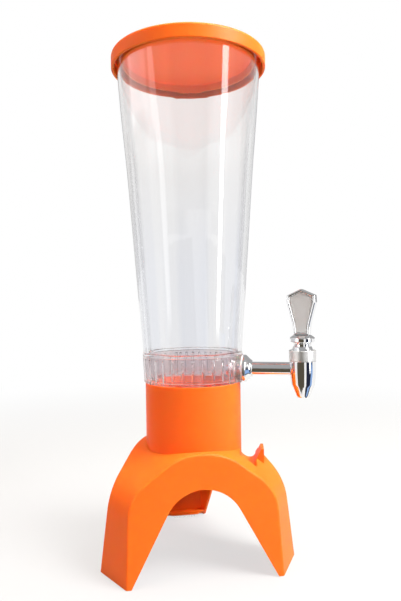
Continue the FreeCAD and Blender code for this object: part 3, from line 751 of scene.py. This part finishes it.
def makeLid():
    low, high = boxOf("lid")
    outer, foot, top = lid["radius"], low[2], high[2]
    inner = outer - lid["wall"]
    under = top - lid["thickness"]
    ring, ringFoot = lid["ringRadius"], under - lid["ringDrop"]
    hollow = ring - lid["ringWall"]
    sunk, mark = top - lid["sunk"], top - lid["mark"]
    profile = roundedLine([
        (0, under), (hollow, under, 1.0), (hollow, ringFoot, 0.5), (ring, ringFoot, 0.7), (ring, under, 0.8),
        (inner, under, 1.2), (inner, foot, 0.6), (outer, foot, 0.8), (outer, top, lid["shoulder"]),
        (lid["sunkFrom"], top, 4.0), (lid["sunkTo"], sunk, 4.0), (lid["markRadius"], sunk, 0.4),
        (lid["markRadius"] - 0.8, mark, 0.4), (0, mark),
    ], step=math.radians(8))
    keep(spin("lidCap", profile, lid["columns"], closed=False), "lid", "lidOrange", "lid")


makeLid()
smoothCopy("lid_seal", "lidSeal", "lid", "clearSeal")
print("lid made")


# Tap: everything along the shank is a profile (radius, distance out) carried round the tap's axis.
def alongTap(name, corners, columns=96, step=math.radians(10)):
    return spin(name, roundedLine(corners, True, step), columns, (0, 0, tap["height"]), tapOut)


# Radii, then distances from the tower's axis.
shank = {
    "bore": 3.8,
    "thread": 5.5,
    "tube": 6.55,
    "socket": 5.3,
    "inner": 34.5,
    "face": 52.7,
    "socketFrom": 84.3,
    "outer": 99.3,
}


def makeShank():
    bore, thread, tube, socket = shank["bore"], shank["thread"], shank["tube"], shank["socket"]
    inner, face, socketFrom, outer = shank["inner"], shank["face"], shank["socketFrom"], shank["outer"]
    body = alongTap("tapShank", [
        (bore, inner, 0.3), (thread, inner, 0.5), (thread, face, 0.1), (tube, face, 0.1), (tube, outer, 0.3),
        (socket, outer, 0.2), (socket, socketFrom, 0.2), (bore, socketFrom, 0.2),
    ])
    keep(body, "cup", "chrome", "tap_shank")


flange = {
    "bore": 6.6,
    "radius": 13.5,
    "edge": 2.4,
    "neck": 8.7,
    "neckRun": 1.6,
    "mouth": 8.15,
    "face": 52.7,
    "end": 61.5,
}


def makeFlange():
    bore, radius, face, end = flange["bore"], flange["radius"], flange["face"], flange["end"]
    cover = alongTap("tapFlange", [
        (bore, face, 0.1), (radius, face, 0.5), (radius, face + flange["edge"], 1.8),
        (flange["neck"], end - flange["neckRun"], 5.0), (flange["mouth"], end, 0.5), (bore, end, 0.1),
    ], 128, math.radians(6))
    keep(cover, "cup", "chrome", "tap_flange")


makeShank()
makeFlange()
smoothCopy("flange_washer", "flangeWasher", "cup", "seal")
smoothCopy("inner_washer", "innerWasher", "cup", "seal")
smoothCopy("coupling_washer", "couplingWasher", "cup", "seal")
smoothCopy("ball_washer", "ballWasher", "cup", "seal")
smoothCopy("lock_nut", "lockNut", "cup", "chrome", 25.0)

# Faucet: a bullet-shaped body with a narrow nozzle and a chamber for the lever's finger; the tap's upright
# pieces go round its axis.
faucetPlace = tuple(tapOut * tap["reach"])
faucet = {
    "bore": 4.4,
    "nozzle": 6.1,
    "nozzleTop": 7.0,
    "nozzleRise": 1.6,
    "shoulder": 11.5,
    "shoulderRise": 12.0,
    "belly": 12.6,
    "bellyDrop": 6.1,  # under the tap's axis
    "top": 13.0,
    "chamber": 8.9,
    "chamberDrop": 2.4,
}


def aroundFaucet(name, corners, step=math.radians(6)):
    return spin(name, roundedLine(corners, True, step), 160, faucetPlace)


def makeFaucet():
    low, high = boxOf("faucet_body")
    bottom, top = low[2], high[2]
    chamber = tap["height"] - faucet["chamberDrop"]
    body = aroundFaucet("faucetBody", [
        (faucet["bore"], bottom, 0.4), (faucet["nozzle"], bottom, 0.5),
        (faucet["nozzleTop"], bottom + faucet["nozzleRise"], 2.0),
        (faucet["shoulder"], bottom + faucet["shoulderRise"], 9.0),
        (faucet["belly"], tap["height"] - faucet["bellyDrop"], 60.0), (faucet["top"], top, 0.3),
        (faucet["chamber"], top, 0.3), (faucet["chamber"], chamber, 0.3), (faucet["bore"], chamber, 0.3),
    ], math.radians(4))
    keep(body, "cup", "chrome", "faucet_body")


bonnet = {
    "foot": 10.0,
    "radius": 13.1,
    "mouth": 11.3,
    "throat": 9.6,
    "throatDrop": 2.0,
    "inside": 9.9,
    "insideRise": 4.0,
}


def makeBonnet():
    low, high = boxOf("lever_bonnet")
    bottom, top = low[2], high[2]
    body = aroundFaucet("leverBonnet", [
        (bonnet["foot"], bottom, 0.2), (bonnet["radius"], bottom, 0.5), (bonnet["radius"], top, 0.7),
        (bonnet["mouth"], top, 0.3), (bonnet["throat"], top - bonnet["throatDrop"], 0.4),
        (bonnet["inside"], bottom + bonnet["insideRise"], 0.5),
    ])
    keep(body, "cup", "satin", "lever_bonnet")


makeFaucet()
makeBonnet()


# Lever: a ball with a stud above it and a finger with a small ball below, all round one axis. The profile is
# an arc up the small ball, one up the large ball, then the flat and the stud.
lever = {
    "centre": 204.5,
    "ball": 10.3,
    "flatTop": 5.5,
    "flatRadius": 8.0,
    "tip": 2.2,
    "finger": 1.6,
    "stud": 2.4,
    "studTop": 230.0,
    "columns": 96,
}


def makeLever():
    centre, ball, tip, finger, stud = [lever[part] for part in ("centre", "ball", "tip", "finger", "stud")]
    tipAngles = np.linspace(-np.pi / 2, math.acos(finger / tip), 14)
    ballAngles = np.linspace(-math.acos(finger / ball), math.asin(lever["flatTop"] / ball), 40)
    flat, end = centre + lever["flatTop"], lever["studTop"]
    profile = np.concatenate([
        np.stack([tip * np.cos(tipAngles), tap["height"] + tip * np.sin(tipAngles)], axis=-1),
        np.stack([ball * np.cos(ballAngles), centre + ball * np.sin(ballAngles)], axis=-1),
        roundedLine([(lever["flatRadius"], flat), (stud, flat, 0.2), (stud, end, 0.4), (0, end)]),
    ])
    piece = spin("tapLever", profile, lever["columns"], faucetPlace, closed=False)
    keep(piece, "lever", "chrome", "tap_lever")


ferrule = {
    "bore": 2.45,
    "neck": 8.708,
    "hollow": 1.8,
    "bead": 12.2,
    "beadLow": 214.6,
    "beadHeight": 3.8,
    "crown": 0.6,
}


def makeFerrule():
    low, high = boxOf("handle_ferrule")
    bottom, top = low[2], high[2]
    bore, neck, bead, beadLow = ferrule["bore"], ferrule["neck"], ferrule["bead"], ferrule["beadLow"]
    body = aroundFaucet("handleFerrule", [
        (bore, bottom, 0.1), (neck, bottom, 0.2), (neck, beadLow - ferrule["hollow"], 1.3),
        (bead, beadLow, 0.8), (bead, beadLow + ferrule["beadHeight"], 1.4),
        (neck + ferrule["crown"], top, 0.2), (bore, top, 0.1),
    ])
    keep(body, "lever", "chrome", "handle_ferrule")


makeLever()
makeFerrule()

# Paddle: a shield with a crowned rim and a grey inset let into each face. Its right side's corners are
# (across, up, rounding).
paddle = {
    "azimuth": -25.0,
    "bottom": 220.6,
    "height": 45.5,
    "thickness": 9.6,
    "rim": 2.6,
    "crown": 1.05,
    "recess": 2.0,
    "panel": 1.2,
    "panelGap": 0.1,
    "inner": 4.2,  # where the innermost outline stands, with a flat fan inside it
    "right": [(7.8, 0.0, 1.0), (8.4, 10.2, 40.0), (14.2, 32.0, 5.0), (13.8, 39.4, 0.5)],
    "apex": 1.0,
}


# The paddle's outline shrunk by inset: each corner moves along its mitre, a bulging corner's radius shrinks
# by the inset and a hollow one's grows. All outlines have equally many points, so they stack into a grid.
def paddleLine(inset):
    right = paddle["right"]
    corners = right + [(0, paddle["height"], paddle["apex"])] + [(-a, b, r) for a, b, r in reversed(right)]
    spots = np.array([corner[:2] for corner in corners])
    back = np.roll(spots, 1, axis=0) - spots
    ahead = np.roll(spots, -1, axis=0) - spots
    back /= np.linalg.norm(back, axis=1, keepdims=True)
    ahead /= np.linalg.norm(ahead, axis=1, keepdims=True)
    half = np.arccos(np.clip((back * ahead).sum(axis=1), -1, 1)) / 2
    middle = back + ahead
    middle /= np.linalg.norm(middle, axis=1, keepdims=True)
    bulge = np.sign(back[:, 1] * ahead[:, 0] - back[:, 0] * ahead[:, 1])
    radius = np.maximum(np.array([corner[2] for corner in corners]) - bulge * inset, 0.35)
    here = spots + middle * (bulge * inset / np.sin(half))[:, None]
    run = radius / np.tan(half)
    start = here + back * run[:, None]
    centre = here + middle * (radius / np.sin(half))[:, None]
    arm = start - centre
    share = np.linspace(0, 1, 9)
    angle = (bulge * (np.pi - 2 * half))[:, None] * share
    arcs = centre[:, None] + np.stack([
        arm[:, :1] * np.cos(angle) - arm[:, 1:] * np.sin(angle),
        arm[:, :1] * np.sin(angle) + arm[:, 1:] * np.cos(angle),
    ], axis=-1)
    leave = arcs[:, -1]
    enter = np.roll(arcs[:, 0], -1, axis=0)
    steps = np.linspace(0, 1, 10)[1:-1]
    runs = leave[:, None] + (enter - leave)[:, None] * steps[None, :, None]
    return np.concatenate([arcs, runs], axis=1).reshape(-1, 2)


# Rings of outlines at (inset, depth) pairs make the front view's grid; width runs along the paddle's azimuth.
def paddlePiece(name, rings):
    wide = np.array([math.cos(math.radians(paddle["azimuth"])), math.sin(math.radians(paddle["azimuth"])), 0])
    deep = np.array([-wide[1], wide[0], 0])
    outlines = np.stack([paddleLine(inset) for inset, depth in rings])
    depths = np.array([depth for inset, depth in rings])
    points = (np.array(faucetPlace) + outlines[..., :1] * wide + depths[:, None, None] * deep
              + (outlines[..., 1:] + paddle["bottom"]) * np.array([0, 0, 1.0]))
    return gridPiece(name, points)


def makePaddle():
    half = paddle["thickness"] / 2
    rim, crown, inner = paddle["rim"], paddle["crown"], paddle["inner"]
    deep = half - paddle["recess"]
    turns = np.linspace(-np.pi / 2, np.pi / 2, 15)
    front = [(inner, -deep), (rim + 0.1, -deep), (rim, -deep - 0.1)]
    front += [(rim / 2 * (1 - math.sin(turn)), -half + crown * (1 - math.cos(turn))) for turn in turns]
    front.append((0.0, -half + crown + 0.3))
    rings = front + [(inset, -depth) for inset, depth in reversed(front)]
    keep(paddlePiece("handlePaddle", rings), "lever", "chrome", "handle_frame")
    gap = rim + paddle["panelGap"]
    face = deep + paddle["panel"]
    panel = [(inner, deep), (gap, deep), (gap, face - 0.3), (gap + 0.1, face - 0.08), (gap + 0.35, face),
             (inner, face)]
    for name, node, sign in (("insetFront", "handle_panel_front", -1), ("insetBack", "handle_panel_back", 1)):
        panelRings = [(inset, sign * depth) for inset, depth in panel]
        keep(paddlePiece(name, panelRings), "lever", "panel", node)


makePaddle()
smoothCopy("valve_shaft", "valveShaft", "valve", "steel")
smoothCopy("shaft_seal", "shaftSeal", "valve", "seal")
smoothCopy("seal_nut", "sealNut", "valve", "steel")
print("tap made")

# Stage: shades are linear, places in metres
stage = {
    "floorReach": 9.0,
    "floorColour": (0.34, 0.34, 0.34, 1),
    "seenColour": (0.15, 0.15, 0.15, 1),
    "floorLift": 0.66,
    "floorFade": (0.35, 1.2),  # the floor turns plain white between these distances
    "openLevel": 0.12,
    "bandEdge": (0.1, 0.2),  # slopes of the view between which one band gives way to the next
    "mirrorTop": (0.46, 0.46, 0.46, 1),
    "topEdge": (0.42, 0.6),
    "throughLevel": 0.93,
    "throughEdge": (0.2, 0.28),
    "lightBounces": 32,  # light runs far inside the clear walls before it leaves them
}
# What stands round the table, as gloss mirrors it: (bearing to the right of the camera's side, shade), in a
# low band just over the table and in a taller one above that.
lowBand = [
    (-180, (0.8, 0.79, 0.78)), (-165, (0.8, 0.79, 0.78)), (-150, (0.3, 0.29, 0.28)),
    (-106, (0.3, 0.29, 0.28)), (-96, (0.9, 0.89, 0.88)), (-58, (0.9, 0.89, 0.88)), (-48, (0.12, 0.11, 0.09)),
    (-8, (0.12, 0.11, 0.09)), (-2, (1.0, 1.0, 1.0)), (24, (1.0, 1.0, 1.0)), (30, (0.05, 0.06, 0.1)),
    (66, (0.05, 0.06, 0.1)), (76, (1.0, 1.0, 1.0)), (98, (1.0, 1.0, 1.0)), (106, (0.3, 0.31, 0.33)),
    (150, (0.3, 0.31, 0.33)), (165, (0.8, 0.8, 0.8)), (180, (0.8, 0.8, 0.8)),
]
highBand = [
    (-180, (0.85, 0.84, 0.83)), (-165, (0.85, 0.84, 0.83)), (-150, (0.6, 0.59, 0.58)),
    (-112, (0.6, 0.59, 0.58)), (-98, (0.9, 0.88, 0.87)), (-60, (0.9, 0.88, 0.87)), (-54, (0.2, 0.19, 0.19)),
    (-44, (0.4, 0.39, 0.39)), (34, (0.4, 0.4, 0.4)), (42, (1.0, 0.98, 0.96)), (74, (1.0, 0.98, 0.96)),
    (81, (0.6, 0.59, 0.59)), (150, (0.6, 0.6, 0.6)), (165, (0.8, 0.8, 0.8)), (180, (0.8, 0.8, 0.8)),
]


# Degrees to the right of the camera's side, as seen from the tower.
def bearingOf(x, y):
    return x.maths("ARCTAN2", 0.0 - y) * (180 / math.pi)


# A flat or bent sheet of the stage; only the floor is seen and takes light, the others show in gloss alone.
def card(name, points, finish, faces=((0, 1, 2, 3),), inGlossOnly=True):
    mesh = bpy.data.meshes.new(name)
    mesh.from_pydata([tuple(point) for point in points], [], faces)
    mesh.materials.append(finish)
    piece = bpy.data.objects.new(name, mesh)
    scene.collection.objects.link(piece)
    if inGlossOnly:
        piece.visible_camera = False
        piece.visible_diffuse = False
        piece.visible_shadow = False
        piece.visible_transmission = False


def glow(name, colour):
    look = Finish(name)
    return look.finish(look.node("Emission", None, {"Color": (*colour, 1), "Strength": 1.0}))


# A standing softbox that fades towards its sides and its lower edge: its bearing and spread in degrees, the
# heights of its edges, and its strength.
softboxes = {
    "rightStrip": (57, 13, 0.02, 1.0, 11.0),
    "leftStrip": (-53, 24, 0.02, 1.0, 2.6),
    "leftPanel": (-86, 46, 0.56, 1.15, 2.4),
}


def softbox(name, bearing, spread, low, high, strength, fading=0.35, distance=0.9):
    look = Finish(name + "Glow")
    x, y, z = look.split(look.place())
    away = (bearingOf(x, y) - bearing).maths("ABSOLUTE")
    across = 1.0 - smooth(away, spread / 2 * (1 - fading), spread / 2)
    share = across * smooth(z, low, low + 0.12 * (high - low))
    bright = look.node("Emission", None, {"Color": (1, 1, 1, 1), "Strength": strength})
    nothing = look.node("BsdfTransparent")
    finish = look.finish(look.node("MixShader", None, {0: share, 1: nothing, 2: bright}))
    turn = math.radians(-90 + bearing)
    middle = np.array([math.cos(turn), math.sin(turn)]) * distance
    side = np.array([-math.sin(turn), math.cos(turn)]) * distance * math.tan(math.radians(spread / 2))
    a, b = middle - side, middle + side
    card(name, [(*a, low), (*b, low), (*b, high), (*a, high)], finish)


# Cards lying on the floor: corners as a bearing and a distance from the faucet, a height and a shade.
floorCards = {
    "darkLeft": ([(-60, 0.14), (2, 0.14), (2, 8.0), (-60, 8.0)], 0.0008, (0.10, 0.085, 0.06)),
    "darkRight": ([(20, 0.1), (84, 0.1), (80, 8.0), (20, 8.0)], 0.0008, (0.02, 0.025, 0.05)),
    "blueRight": ([(38, 0.1), (56, 0.1), (84, 1.2), (64, 1.2)], 0.0012, (0.32, 0.50, 0.86)),
}


def floorCard(name, corners, height, colour):
    centre = np.array(faucetPlace[:2]) * mm
    turns, reach = np.radians([turn for turn, far in corners]), np.array([far for turn, far in corners])
    spots = centre + reach[:, None] * np.stack([np.sin(turns), -np.cos(turns)], axis=-1)
    card(name, [(*spot, height) for spot in spots], glow(name + "Shade", colour))


# A grey ceiling far over the table that only gloss mirrors: part of a wide tube round the tap's axis, between
# two angles above the camera's side.
canopy = {"reach": 0.84, "start": -0.55, "end": 1.58, "from": 11.0, "to": 176.0, "shade": (0.40, 0.40, 0.405)}


def makeCanopy():
    turns = np.radians(np.linspace(canopy["from"], canopy["to"], 33))
    towardsCamera = np.array([tapOut[1], -tapOut[0], 0])
    up = np.array([0, 0, 1.0])
    ring = np.cos(turns)[:, None] * towardsCamera + np.sin(turns)[:, None] * up
    ends = np.array([canopy["start"], canopy["end"]])
    points = ends[:, None, None] * tapOut + canopy["reach"] * ring + tap["height"] * mm * up
    count = len(turns)
    ids = np.arange(count - 1)
    faces = np.stack([ids, ids + 1, ids + 1 + count, ids + count], axis=-1).tolist()
    card("canopy", points.reshape(-1, 3).tolist(), glow("canopyShade", canopy["shade"]), faces)


# The floor is lit as any surface; seen directly, mirrored or through the cup it is lifted to white,
# fully so away from the tower, so that only the soft shadow by the feet stays.
def makeFloor():
    look = Finish("paleFloor")
    x, y, z = look.split(look.place())
    far = smooth((x * x + y * y) ** 0.5, *stage["floorFade"])
    seen = look.path("Camera", "Glossy", "Transmission")
    lit = look.node("BsdfDiffuse", None, {"Color": look.mix(seen, stage["floorColour"], stage["seenColour"])})
    level = 1.0 - look.path("Transmission") * (1 - stage["throughLevel"])
    white = look.node("Emission", None, {"Color": (1, 1, 1, 1), "Strength": level})
    lift = look.node("Emission", None, {"Color": (1, 1, 1, 1), "Strength": seen * stage["floorLift"]})
    near = look.node("AddShader", None, {0: lit, 1: lift})
    surface = look.node("MixShader", None, {0: far * seen, 1: near, 2: white})
    reach = stage["floorReach"]
    corners = [(-reach, -reach, 0), (reach, -reach, 0), (reach, reach, 0), (-reach, reach, 0)]
    card("floor", corners, look.finish(surface), inGlossOnly=False)


# The world: white to the camera, a little under white through the clear plastic, the surroundings' bands and
# a grey above them in gloss, and a low even level for lighting.
def makeWorld():
    world = bpy.data.worlds.new("studio")
    scene.world = world
    look = Finish("studio", world)
    x, y, up = look.split(look.node("TexCoord", out="Generated"))
    turn = bearingOf(x, y) / 360 + 0.5
    bands = []
    for band in (lowBand, highBand):
        stops = [(bearing / 360 + 0.5, shade) for bearing, shade in band]
        bands.append(look.node("ValToRGB", {"stops": stops}, {0: turn}))
    around = look.mix(smooth(up, *stage["bandEdge"]), *bands)
    mirrored = look.mix(smooth(up, *stage["topEdge"]), around, stage["mirrorTop"])
    through = stage["throughLevel"] + smooth(up, *stage["throughEdge"]) * (1 - stage["throughLevel"])
    white = (1, 1, 1, 1)
    unlit = look.mix(look.path("Camera"), (*[stage["openLevel"]] * 3, 1), white)
    reflected = look.mix(look.path("Glossy"), unlit, mirrored)
    shade = look.mix(look.path("Transmission"), reflected, look.mix(through, (0, 0, 0, 1), white))
    look.finish(look.node("Background", None, {"Color": shade, "Strength": 1.0}), "World")


# Area lamps: bearing, height and distance from the tower's axis, the height on the axis that each aims at,
# its size, and the level at which a white card there would read.
lamps = {
    "keyLamp": (60, 1.24, 0.99, 0.2, (0.7, 0.7), 2.1),
    "topLamp": (120, 1.95, 0.2, 0.1, (1.2, 1.2), 1.35, (1.0, 0.95, 0.82)),
    "leftFill": (-62, 0.85, 1.2, 0.5, (0.6, 0.5), 0.5, (1.0, 0.56, 0.46), False),
}


def lamp(name, bearing, height, reach, aim, size, level, colour=(1, 1, 1), mirrored=True):
    turn = math.radians(-90 + bearing)
    place = Vector((reach * math.cos(turn), reach * math.sin(turn), height))
    ray = Vector((0, 0, aim)) - place
    data = bpy.data.lights.new(name, "AREA")
    data.shape = "RECTANGLE"
    data.size, data.size_y = size
    data.energy = level * math.pi ** 2 * ray.length ** 2
    data.color = colour
    source = bpy.data.objects.new(name, data)
    source.location = place
    source.rotation_euler = ray.to_track_quat("-Z", "Y").to_euler()
    source.visible_glossy = mirrored
    source.visible_transmission = False
    source.visible_camera = False
    scene.collection.objects.link(source)


makeFloor()
makeWorld()
for make, rows in ((lamp, lamps), (softbox, softboxes), (floorCard, floorCards)):
    for name, values in rows.items():
        make(name, *values)
makeCanopy()
print("stage set")

scene.view_settings.view_transform = "Standard"
for limit in ("max_bounces", "glossy_bounces", "transmission_bounces", "transparent_max_bounces"):
    setattr(scene.cycles, limit, stage["lightBounces"])
